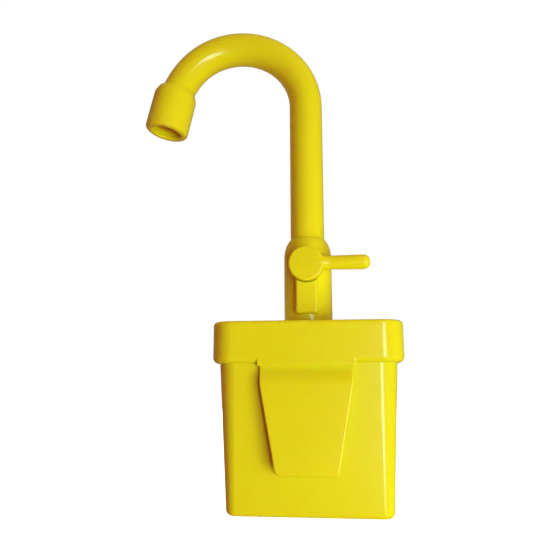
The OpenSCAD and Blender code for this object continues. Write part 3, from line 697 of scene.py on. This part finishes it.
def make_lid():
    rings = []
    for k in range(9):
        a = math.radians(90 * k / 8)
        inset = LID_LOW_EDGE * (1 - math.sin(a))
        outline = round_outline(LID_W - 2 * inset, LID_D - 2 * inset, LID_R - inset)
        rings.append([(x, y, WALL_H + LID_LOW_EDGE * (1 - math.cos(a))) for x, y in outline])
    for k in range(9):
        a = math.radians(90 * k / 8)
        inset = LID_TOP_EDGE * (1 - math.cos(a))
        outline = round_outline(LID_W - 2 * inset, LID_D - 2 * inset, LID_R - inset)
        rings.append([(x, y, TOP_Z - LID_TOP_EDGE * (1 - math.sin(a))) for x, y in outline])
    lid = loft("lid_cover", rings)
    lip_low = (CLIP_X - LIP_HALF, -LID_D / 2 + 0.01, LIP_Z)
    lip_high = (CLIP_X + LIP_HALF, -LID_D / 2 + LID_T, LIP_Z + 5)
    combine(lid, "UNION", block("lip", lip_low, lip_high, 0.45))
    inner = round_outline(LID_W - 2 * LID_T, LID_D - 2 * LID_T, LID_R - LID_T)
    inner_top = round_outline(LID_W - 2 * LID_T - 1, LID_D - 2 * LID_T - 1, LID_R - LID_T - 0.5)
    under = TOP_Z - LID_TOP_T
    hollow = loft("hollow", [
        [(x, y, LIP_Z - 1) for x, y in inner],
        [(x, y, under - 0.5) for x, y in inner],
        [(x, y, under) for x, y in inner_top],
    ])
    combine(lid, "DIFFERENCE", hollow)
    combine(lid, "UNION", at_corners("pegs", 2.6, TUB_H, 2))
    slot_low = (CLIP_X - SLOT_HALF, -LID_D / 2 + LIP_T, LIP_Z - 1)
    slot_high = (CLIP_X + SLOT_HALF, -LID_D / 2 + LIP_T + LID_T, LIP_Z + 4)
    seat, above = TOP_Z - SCREW_HEAD_T, TOP_Z + 2
    head = [(0, seat), (2.4, seat), (2.4, TOP_Z - 0.25), (2.7, TOP_Z + 0.05), (2.7, above), (0, above)]
    sinks = [
        turned("sink", head, shift(x, y, 0), 48) for x in (-BOSS_X, BOSS_X) for y in (-BOSS_Y, BOSS_Y)
    ]
    button = [(0, 68), (3.25, 68), (3.25, TOP_Z - 0.4), (3.7, TOP_Z + 0.05), (3.7, above), (0, above)]
    combine(
        lid,
        "DIFFERENCE",
        block("slot", slot_low, slot_high),
        rod("tail_hole", TAIL_R, 68, 6),
        at_corners("screw_holes", SCREW_R, TUB_H - 1, 5),
        together("sinks", *sinks),
        turned("button_hole", button, ON_BUTTON),
    )
    return dress(tidy(lid), "yellow_plastic", "box", "lid")


def clip_ring(z, half, front, thick, edge):
    """One level outline of the clip: a thin rounded bar, its front edges rounder than its back ones."""
    corners = [
        (CLIP_X + half, front + thick, CLIP_BACK_EDGE),
        (CLIP_X - half, front + thick, CLIP_BACK_EDGE),
        (CLIP_X - half, front, edge),
        (CLIP_X + half, front, edge),
    ]
    return [(x, y, z) for x, y in soften(corners, 6, True)]


def make_clip():
    bend_z = LIP_Z - CLIP_BEND_H
    rings = []
    for k in range(13):
        rise = CLIP_CORNER * (1 - math.cos(math.radians(90 * k / 12)))
        z = CLIP_TIP_Z + rise
        share = (z - CLIP_TIP_Z) / (bend_z - CLIP_TIP_Z)
        half = CLIP_TIP_HALF + (CLIP_BEND_HALF - CLIP_TIP_HALF) * share
        half -= CLIP_CORNER * (1 - math.sin(math.radians(90 * k / 12)))
        drop = CLIP_EDGE - min(rise, CLIP_EDGE)
        front_in = CLIP_EDGE - math.sqrt(max(CLIP_EDGE * CLIP_EDGE - drop ** 2, 0))
        thick = CLIP_T - 1.5 * front_in
        edge = min(CLIP_EDGE, 0.5 * thick - 0.05)
        rings.append(clip_ring(z, half, CLIP_FACE_Y + front_in, thick, edge))
    for k in range(1, 7):
        z = CLIP_TIP_Z + CLIP_CORNER + (bend_z - CLIP_TIP_Z - CLIP_CORNER) * k / 6
        share = (z - CLIP_TIP_Z) / (bend_z - CLIP_TIP_Z)
        half = CLIP_TIP_HALF + (CLIP_BEND_HALF - CLIP_TIP_HALF) * share
        rings.append(clip_ring(z, half, CLIP_FACE_Y, CLIP_T, CLIP_EDGE))
    for k in range(1, 17):
        u = k / 16
        front = CLIP_FACE_Y + (CLIP_ROOT_Y - CLIP_FACE_Y) * (1 - math.cos(math.pi * u)) / 2
        half = CLIP_BEND_HALF + (CLIP_ROOT_HALF - CLIP_BEND_HALF) * u
        thick = CLIP_T + (CLIP_ROOT_T - CLIP_T) * u
        edge = CLIP_EDGE + (CLIP_ROOT_EDGE - CLIP_EDGE) * u
        rings.append(clip_ring(bend_z + CLIP_BEND_H * u, half, front, thick, edge))
    rings.append(clip_ring(LIP_Z + 3, CLIP_ROOT_HALF, CLIP_ROOT_Y, CLIP_ROOT_T, CLIP_ROOT_EDGE))
    return dress(tidy(loft("hook_plate", rings), 40), "yellow_plastic", "clip", "hook_clip")


# ---- the tap ----


def make_tap_body():
    profile = [
        (WAY_R, TAIL_Z), (TAIL_R, TAIL_Z), (TAIL_R, TOP_Z), (BODY_R - 0.15, TOP_Z), (BODY_R, TOP_Z + 0.15),
    ]
    sweep = math.radians(50)
    top_r = TUBE_R + 0.2
    for k in range(17):
        t = sweep * k / 16
        r = BODY_R - (BODY_R - top_r) * (1 - math.cos(t)) / (1 - math.cos(sweep))
        z = SHOULDER_Z + SHOULDER_H * math.sin(t) / math.sin(sweep)
        profile.append((r, z))
    profile[-1] = (top_r + 0.08, TAP_TOP_Z - 0.12)
    profile += [
        (top_r, TAP_TOP_Z), (CHAMBER_R, TAP_TOP_Z), (CHAMBER_R, CHAMBER_Z), (THROAT_R, CHAMBER_Z),
        (THROAT_R, THROAT_Z), (WAY_R, THROAT_Z),
    ]
    body = turned("tap_column", profile, None, 128, True)
    combine(body, "DIFFERENCE", rod("plug_bore", PLUG_R, -6.5, 17.5, ON_LEVER_AXIS, 64))
    return dress(tidy(body, 40), "yellow_plastic", "box", "tap_body")


def make_bonnet():
    bonnet = block("lever_block", (-4.4, -13.5, 75.8), (4.4, -8.0, 94.3), 0.95, None, 6)
    ring = rod("ring", 6.4, 8.0, DISC_BACK - 8.3, ON_LEVER_AXIS, ROUND_SIDES)
    combine(bonnet, "UNION", ring)
    column = rod("column", BODY_R + 0.005, TOP_Z - 1, 60, None, 128)
    combine(
        bonnet,
        "DIFFERENCE",
        column,
        rod("spindle", 2.55, 0, 20, ON_LEVER_AXIS, 48),
        rod("disc_room", DISC_R + 0.3, DISC_BACK - 0.3, 20, ON_LEVER_AXIS),
    )
    return dress(tidy(bonnet, 40), "yellow_plastic", "box", "valve_bonnet")


def make_lever():
    disc = [(0, DISC_BACK, 0), (DISC_R, DISC_BACK, 0.4), (DISC_R, DISC_FRONT, 0.7), (0, DISC_FRONT, 0)]
    lever = turned("lever_handle", soften(disc, 8), ON_LEVER_AXIS, 128)
    arm = [
        (0, 3.0, 0), (3.1, 3.0, 0), (3.1, 6.2, 0.6), (2.8, 9.4, 4.0), (ARM_R, 21.0, 0), (ARM_R, ARM_L, 2.55),
        (0, ARM_L, 0),
    ]
    stand = shift(0, ARM_Y, LEVER_Z + 0.4) @ Matrix.Rotation(math.radians(90), 4, "Y")
    combine(lever, "UNION", turned("arm", soften(arm, 10), stand, 96))
    combine(lever, "DIFFERENCE", rod("socket", 2.6, DISC_BACK - 1, 4, ON_LEVER_AXIS, 48))
    return dress(tidy(lever, 40), "yellow_plastic", "lever", "lever_knob")


# ---- the gooseneck ----


def neck_path():
    """The tube's middle line in its own plane, as (reach, height) points."""
    points = [(0.0, TAP_TOP_Z + 0.1 + (BEND_Z - TAP_TOP_Z - 0.1) * k / 24) for k in range(24)]
    for k in range(97):
        a = BEND_A * k / 96
        points.append((-BEND_R + BEND_R * math.cos(a), BEND_Z + BEND_R * math.sin(a)))
    cx = -BEND_R + (BEND_R - TIP_BEND_R) * math.cos(BEND_A)
    cz = BEND_Z + (BEND_R - TIP_BEND_R) * math.sin(BEND_A)
    for k in range(1, 17):
        a = BEND_A + TIP_BEND_A * k / 16
        points.append((cx + TIP_BEND_R * math.cos(a), cz + TIP_BEND_R * math.sin(a)))
    return points


NECK = neck_path()
TIP_TURN = BEND_A + TIP_BEND_A
AT_TIP = (
    Matrix.Rotation(SPOUT_TURN, 4, "Z")
    @ shift(NECK[-1][0], 0, NECK[-1][1])
    @ Matrix.Rotation(-TIP_TURN, 4, "Y")
)


def tube_tree():
    """Geometry nodes that sweep a round wall along a path: an outer skin and a bore."""
    tree = bpy.data.node_groups.new("swept_tube", "GeometryNodeTree")
    tree.interface.new_socket(name="Path", in_out="INPUT", socket_type="NodeSocketGeometry")
    for label, value in (("Radius", TUBE_R * MM), ("Bore", TUBE_BORE_R * MM)):
        socket = tree.interface.new_socket(name=label, in_out="INPUT", socket_type="NodeSocketFloat")
        socket.default_value = value
    sides = tree.interface.new_socket(name="Sides", in_out="INPUT", socket_type="NodeSocketInt")
    sides.default_value = ROUND_SIDES
    tree.interface.new_socket(name="Finish", in_out="INPUT", socket_type="NodeSocketMaterial")
    tree.interface.new_socket(name="Tube", in_out="OUTPUT", socket_type="NodeSocketGeometry")
    start = tree.nodes.new("NodeGroupInput")
    end = tree.nodes.new("NodeGroupOutput")
    line = tree.nodes.new("GeometryNodeMeshToCurve")
    tree.links.new(start.outputs["Path"], line.inputs[0])
    both = tree.nodes.new("GeometryNodeJoinGeometry")
    for label in ("Bore", "Radius"):
        circle = tree.nodes.new("GeometryNodeCurvePrimitiveCircle")
        tree.links.new(start.outputs["Sides"], circle.inputs["Resolution"])
        tree.links.new(start.outputs[label], circle.inputs["Radius"])
        sweep = tree.nodes.new("GeometryNodeCurveToMesh")
        tree.links.new(line.outputs[0], sweep.inputs["Curve"])
        tree.links.new(circle.outputs[0], sweep.inputs["Profile Curve"])
        if label == "Bore":
            flip = tree.nodes.new("GeometryNodeFlipFaces")
            tree.links.new(sweep.outputs[0], flip.inputs[0])
            tree.links.new(flip.outputs[0], both.inputs[0])
        else:
            tree.links.new(sweep.outputs[0], both.inputs[0])
    whole = tree.nodes.new("GeometryNodeRealizeInstances")
    coat = tree.nodes.new("GeometryNodeSetMaterial")
    tree.links.new(both.outputs[0], whole.inputs[0])
    tree.links.new(whole.outputs[0], coat.inputs["Geometry"])
    tree.links.new(start.outputs["Finish"], coat.inputs["Material"])
    tree.links.new(coat.outputs[0], end.inputs[0])
    return tree


def run_tree(body, tree, values):
    """Sets a tree's named inputs on the body and turns the result into its mesh."""
    step = body.modifiers.new("nodes", "NODES")
    step.node_group = tree
    for item in tree.interface.items_tree:
        if item.item_type == "SOCKET" and item.in_out == "INPUT" and item.name in values:
            step[item.identifier] = values[item.name]
    return settle(body)


def close_ends(body):
    """Joins each open rim of the outer skin to the rim of the bore inside it."""
    shape = bmesh.new()
    shape.from_mesh(body.data)
    open_edges = [e for e in shape.edges if e.is_boundary]
    ends = {}
    for edge in open_edges:
        middle = (edge.verts[0].co + edge.verts[1].co) / 2
        near = "low" if (middle.z < 0.12 and abs(middle.x) < 0.012) else "high"
        ends.setdefault(near, []).append(edge)
    for edges in ends.values():
        bmesh.ops.bridge_loops(shape, edges=edges)
    shape.to_mesh(body.data)
    shape.free()
    return body


def make_neck():
    turn = Matrix.Rotation(SPOUT_TURN, 4, "Z")
    points = [(x, 0, z) for x, z in NECK]
    mesh = bpy.data.meshes.new("gooseneck")
    mesh.from_pydata([Vector(p) * MM for p in points], [(k, k + 1) for k in range(len(points) - 1)], [])
    mesh.transform(turn)
    neck = bpy.data.objects.new("gooseneck", mesh)
    bpy.context.scene.collection.objects.link(neck)
    run_tree(neck, tube_tree(), {
        "Radius": TUBE_R * MM, "Bore": TUBE_BORE_R * MM, "Sides": ROUND_SIDES,
        "Finish": FINISHES["yellow_plastic"],
    })
    close_ends(neck)
    groove = [
        (TUBE_BORE_R, 100.4, 0), (SPIGOT_R, 100.4, 0.3), (SPIGOT_R, 101.0, 0), (GROOVE_R, 101.0, 0),
        (GROOVE_R, 102.4, 0), (SPIGOT_R, 102.4, 0), (SPIGOT_R, 109.0, 0), (TUBE_BORE_R, 109.0, 0),
    ]
    spigot = turned("spigot", soften(groove, 3, True), None, ROUND_SIDES, True)
    neck = together("gooseneck_tube", neck, spigot)
    return dress(tidy(neck, 40), "yellow_plastic", "spout", "spout_leg", "spout_bend", "spout_tip")


def make_nozzle():
    mouth = NOZZLE_DOWN
    corners = [
        (6.9, -NOZZLE_UP + 0.2, 0), (8.25, -NOZZLE_UP, 0.5), (9.5, -NOZZLE_UP + 3.0, 2.6),
        (NOZZLE_R, 4.0, 0), (NOZZLE_R, mouth, 1.7), (OUTLET_R, mouth, 0.9), (OUTLET_R, SEAT_Z, 0),
        (INSERT_R + 0.005, SEAT_Z, 0), (INSERT_R + 0.005, 0, 0), (6.9, 0, 0),
    ]
    sleeve = turned("nozzle_cap", soften(corners, 8, True), AT_TIP, 128, True)
    dress(tidy(sleeve, 40), "yellow_plastic", "spout", "nozzle_sleeve")
    corners = [
        (0, WASHER_T, 0), (INSERT_R, WASHER_T, 0), (INSERT_R, SEAT_Z, 0.2),
        (INSERT_R - INSERT_WALL, SEAT_Z, 0.4), (INSERT_R - INSERT_WALL, PLATE_TOP, 0.2), (0, PLATE_TOP, 0),
    ]
    insert = turned("nozzle_plate", soften(corners, 4), AT_TIP)
    holes = [rod("jet", MIDDLE_JET_R, 0, 5, AT_TIP, 32)]
    for k in range(JET_COUNT):
        a = 2 * math.pi * k / JET_COUNT
        stand = AT_TIP @ shift(JET_AT * math.cos(a), JET_AT * math.sin(a), 0)
        holes.append(rod("jet", JET_R, 0, 5, stand, 32))
    combine(insert, "DIFFERENCE", together("jets", *holes))
    # The insert's darker amber tone is partly painted shade, standing in for the shade inside the nozzle
    # mouth.
    return dress(tidy(insert, 40), "amber_plastic", "spout", "nozzle_insert")


# ---- hatch, screws and button ----


def make_door():
    outline = round_outline(DOOR_X1 - DOOR_X0, DOOR_H, DOOR_R, 8)
    middle_x, middle_z = (DOOR_X0 + DOOR_X1) / 2, DOOR_Z + DOOR_H / 2
    rings = []
    for y in (DOOR_Y, DOOR_Y + DOOR_T - DOOR_EDGE):
        rings.append([(middle_x + x, y, middle_z - z) for x, z in outline])
    for k in range(1, 6):
        a = math.radians(90 * k / 5)
        inset = DOOR_EDGE * (1 - math.cos(a))
        inner = round_outline(DOOR_X1 - DOOR_X0 - 2 * inset, DOOR_H - 2 * inset, DOOR_R - inset, 8)
        y = DOOR_Y + DOOR_T - DOOR_EDGE + DOOR_EDGE * math.sin(a)
        rings.append([(middle_x + x, y, middle_z - z) for x, z in inner])
    door = loft("hatch_door", rings, ON_BACK_WALL)
    combine(door, "UNION", knuckle_webs("webs", (1,), DOOR_GAP, DOOR_X1 - 1, HINGE_X - 0.4, 0.15, 1.05))
    combine(door, "UNION", knuckles("hinge", (1,), DOOR_GAP, PIN_R + 0.05))
    sink = [(0, -5), (2.55, -5), (2.55, -1.2), (2.2, -0.9), (2.2, -0.4), (0.95, -0.4), (0.95, 5), (0, 5)]
    combine(door, "DIFFERENCE", turned("sink", sink, ON_DOOR_SCREW, 64))
    return dress(tidy(door, 34), "yellow_plastic", "door", "battery_door")


def screw_tree(name):
    """Geometry nodes that set a copy of the screw at each corner of a rectangle."""
    tree = bpy.data.node_groups.new(name, "GeometryNodeTree")
    tree.interface.new_socket(name="Screw", in_out="INPUT", socket_type="NodeSocketGeometry")
    for label in ("Span X", "Span Y"):
        tree.interface.new_socket(name=label, in_out="INPUT", socket_type="NodeSocketFloat")
    tree.interface.new_socket(name="Finish", in_out="INPUT", socket_type="NodeSocketMaterial")
    tree.interface.new_socket(name="Screws", in_out="OUTPUT", socket_type="NodeSocketGeometry")
    start = tree.nodes.new("NodeGroupInput")
    end = tree.nodes.new("NodeGroupOutput")
    grid = tree.nodes.new("GeometryNodeMeshGrid")
    grid.inputs["Vertices X"].default_value = 2
    grid.inputs["Vertices Y"].default_value = 2
    tree.links.new(start.outputs["Span X"], grid.inputs["Size X"])
    tree.links.new(start.outputs["Span Y"], grid.inputs["Size Y"])
    copies = tree.nodes.new("GeometryNodeInstanceOnPoints")
    tree.links.new(grid.outputs["Mesh"], copies.inputs["Points"])
    tree.links.new(start.outputs["Screw"], copies.inputs["Instance"])
    whole = tree.nodes.new("GeometryNodeRealizeInstances")
    coat = tree.nodes.new("GeometryNodeSetMaterial")
    tree.links.new(copies.outputs[0], whole.inputs[0])
    tree.links.new(whole.outputs[0], coat.inputs["Geometry"])
    tree.links.new(start.outputs["Finish"], coat.inputs["Material"])
    tree.links.new(coat.outputs[0], end.inputs[0])
    return tree


def cross_cut(z, size, wide):
    """The two bars of a cross-shaped recess, from height z upwards."""
    first = block("slot", (-size, -wide / 2, z), (size, wide / 2, z + 2))
    second = block("slot", (-wide / 2, -size, z), (wide / 2, size, z + 2))
    return first, second


def make_lid_screws():
    end, seat = TUB_H - SCREW_L + 0.5, TOP_Z - SCREW_HEAD_T
    corners = [
        (0, end, 0), (SCREW_R, end, 0.4), (SCREW_R, seat, 0), (2.36, seat, 0.1), (2.36, TOP_Z - 0.4, 0.4),
        (0, TOP_Z - 0.1, 0),
    ]
    screw = turned("corner_screws", soften(corners, 4), None, 48)
    combine(screw, "DIFFERENCE", *cross_cut(TOP_Z - 0.85, 1.35, 0.5))
    tidy(screw, 34)
    run_tree(screw, screw_tree("screw_corners"), {
        "Span X": 2 * BOSS_X * MM, "Span Y": 2 * BOSS_Y * MM, "Finish": FINISHES["steel"],
    })
    return dress(screw, "steel", "box", "lid_screws")


def make_door_screw():
    corners = [
        (0, -1.3, 0), (2.15, -1.15, 0.35), (2.15, -0.42, 0.1), (0.93, -0.42, 0), (0.93, 3.0, 0.35),
        (0, 3.0, 0),
    ]
    screw = turned("hatch_screw", soften(corners, 4), ON_DOOR_SCREW, 48)
    combine(screw, "DIFFERENCE", block("slot", (-1.7, -0.3, -2), (1.7, 0.3, -0.85), 0, ON_DOOR_SCREW))
    return dress(tidy(screw, 34), "steel", "door", "door_screw")


def make_button():
    top = BUTTON_TOP
    corners = [
        (0, 66.1, 0), (1.2, 66.1, 0.2), (1.2, 68.2, 0), (4.0, 68.2, 0.1), (4.0, 69.7, 0.1),
        (BUTTON_R, 69.7, 0), (BUTTON_R, top, 0.6), (0, top, 0),
    ]
    button = turned("power_button", soften(corners, 6), ON_BUTTON)
    dish = [
        (0, top - 0.28), (1.0, top - 0.24), (1.8, top - 0.12), (2.3, top + 0.02), (2.3, top + 1),
        (0, top + 1),
    ]
    combine(button, "DIFFERENCE", turned("dish", dish, ON_BUTTON))
    return dress(tidy(button, 40), "amber_plastic", "button", "switch_button")


def make_cells():
    made = []
    for side in (-1, 1):
        stand = ON_BACK_WALL @ shift(CELL_MID_X + side * CELL_STEP, CELL_Y, 0)
        corners = [
            (0, CELL_LOW, 0), (CELL_R, CELL_LOW, 0.5), (CELL_R, CELL_SHOULDER, 0.6),
            (1.9, CELL_SHOULDER, 0.15), (1.9, CELL_TOP, 0.3), (0, CELL_TOP, 0),
        ]
        made.append(turned("cell", soften(corners, 5), stand, 64))
    return dress(tidy(together("power_cells", *made), 40), "cell_sleeve", "box", "battery_cells")


make_box()
make_lid()
make_clip()
make_tap_body()
make_bonnet()
make_lever()
make_neck()
make_nozzle()
make_door()
make_lid_screws()
make_door_screw()
make_button()
make_cells()

for node_name, node_object in frame["nodes"].items():
    node_object.data.materials.clear()
    node_object.data.materials.append(FINISHES[SLOT_OF[node_name]])


# ---- floor, light and camera ----


def make_floor():
    floor = place("studio_floor", [(-6000, -6000, 0), (6000, -6000, 0), (6000, 6000, 0), (-6000, 6000, 0)],
                  [(0, 1, 2, 3)])
    made, tree, shader = start_material("pale_floor")
    where = tree.nodes.new("ShaderNodeTexCoord").outputs["Object"]
    tone = noise(tree, where, 3.0, 2.0, 0.5)
    tree.links.new(blend_of(tree, tone, (0.93, 0.93, 0.93), (0.96, 0.96, 0.96)), shader.inputs["Base Color"])
    shader.inputs["Roughness"].default_value = 0.9
    shader.inputs["Emission Color"].default_value = (1, 1, 1, 1)
    shader.inputs["Emission Strength"].default_value = 1.0
    floor.data.materials.append(made)
    floor.visible_glossy = False
    floor.visible_shadow = False
    floor.visible_diffuse = False
    return floor


def make_light(name, middle, target, width, height, power, colour, mirrored=True):
    data = bpy.data.lights.new(name, "AREA")
    data.shape = "RECTANGLE"
    data.size = width
    data.size_y = height
    data.energy = power
    data.color = colour
    light = bpy.data.objects.new(name, data)
    bpy.context.scene.collection.objects.link(light)
    light.location = middle
    way = Vector(target) - Vector(middle)
    light.rotation_mode = "QUATERNION"
    light.rotation_quaternion = way.to_track_quat("-Z", "Y")
    light.visible_glossy = mirrored
    return light


def make_world():
    world = bpy.data.worlds.new("studio")
    bpy.context.scene.world = world
    world.use_nodes = True
    tree = world.node_tree
    tree.nodes.clear()
    path = tree.nodes.new("ShaderNodeLightPath")
    seen = tree.nodes.new("ShaderNodeBackground")
    seen.inputs["Color"].default_value = (1, 1, 1, 1)
    seen.inputs["Strength"].default_value = 1.0
    room = tree.nodes.new("ShaderNodeBackground")
    room.inputs["Color"].default_value = (1.0, 0.1, 0.03, 1)
    room.inputs["Strength"].default_value = 0.27
    mirrored = tree.nodes.new("ShaderNodeBackground")
    mirrored.inputs["Color"].default_value = (1.0, 0.8, 0.6, 1)
    mirrored.inputs["Strength"].default_value = 0.22
    inner = tree.nodes.new("ShaderNodeMixShader")
    tree.links.new(path.outputs["Is Glossy Ray"], inner.inputs[0])
    tree.links.new(room.outputs[0], inner.inputs[1])
    tree.links.new(mirrored.outputs[0], inner.inputs[2])
    mix = tree.nodes.new("ShaderNodeMixShader")
    end = tree.nodes.new("ShaderNodeOutputWorld")
    tree.links.new(path.outputs["Is Camera Ray"], mix.inputs[0])
    tree.links.new(inner.outputs[0], mix.inputs[1])
    tree.links.new(seen.outputs[0], mix.inputs[2])
    tree.links.new(mix.outputs[0], end.inputs[0])


def make_camera():
    data = bpy.data.cameras.new("camera")
    data.lens = 36.82
    data.sensor_width = 36.0
    data.clip_start = 0.01
    data.clip_end = 20
    camera = bpy.data.objects.new("camera", data)
    bpy.context.scene.collection.objects.link(camera)
    ahead = Vector((-0.10063, 0.97715, 0.18723)).normalized()
    right = Vector((0.99470, 0.10284, -0.00211)).normalized()
    up = right.cross(ahead)
    turn = Matrix((right, up, -ahead)).transposed()
    camera.matrix_world = shift(10.38, -235.03, 48.57) @ turn.to_4x4()
    bpy.context.scene.camera = camera


make_floor()
make_world()
make_camera()
make_light("key", (0.19, -0.56, 0.0), (0, 0, 0.06), 0.13, 0.32, 1.4, (0.80, 1.0, 0.95))
make_light("side", (0.43, -0.42, -0.16), (0, 0, 0.09), 0.30, 0.40, 3.5, (0.80, 1.0, 0.9), False)
make_light("top", (0.10, -0.05, 0.95), (0, 0, 0.10), 0.6, 0.6, 3.2, (0.9, 1.0, 0.95), False)
make_light("back", (-0.40, 0.64, 0.30), (0, 0, 0.08), 0.7, 0.7, 6.0, (0.85, 1.0, 0.95), False)
bpy.context.scene.view_settings.view_transform = "Standard"
bpy.context.scene.view_settings.look = "None"
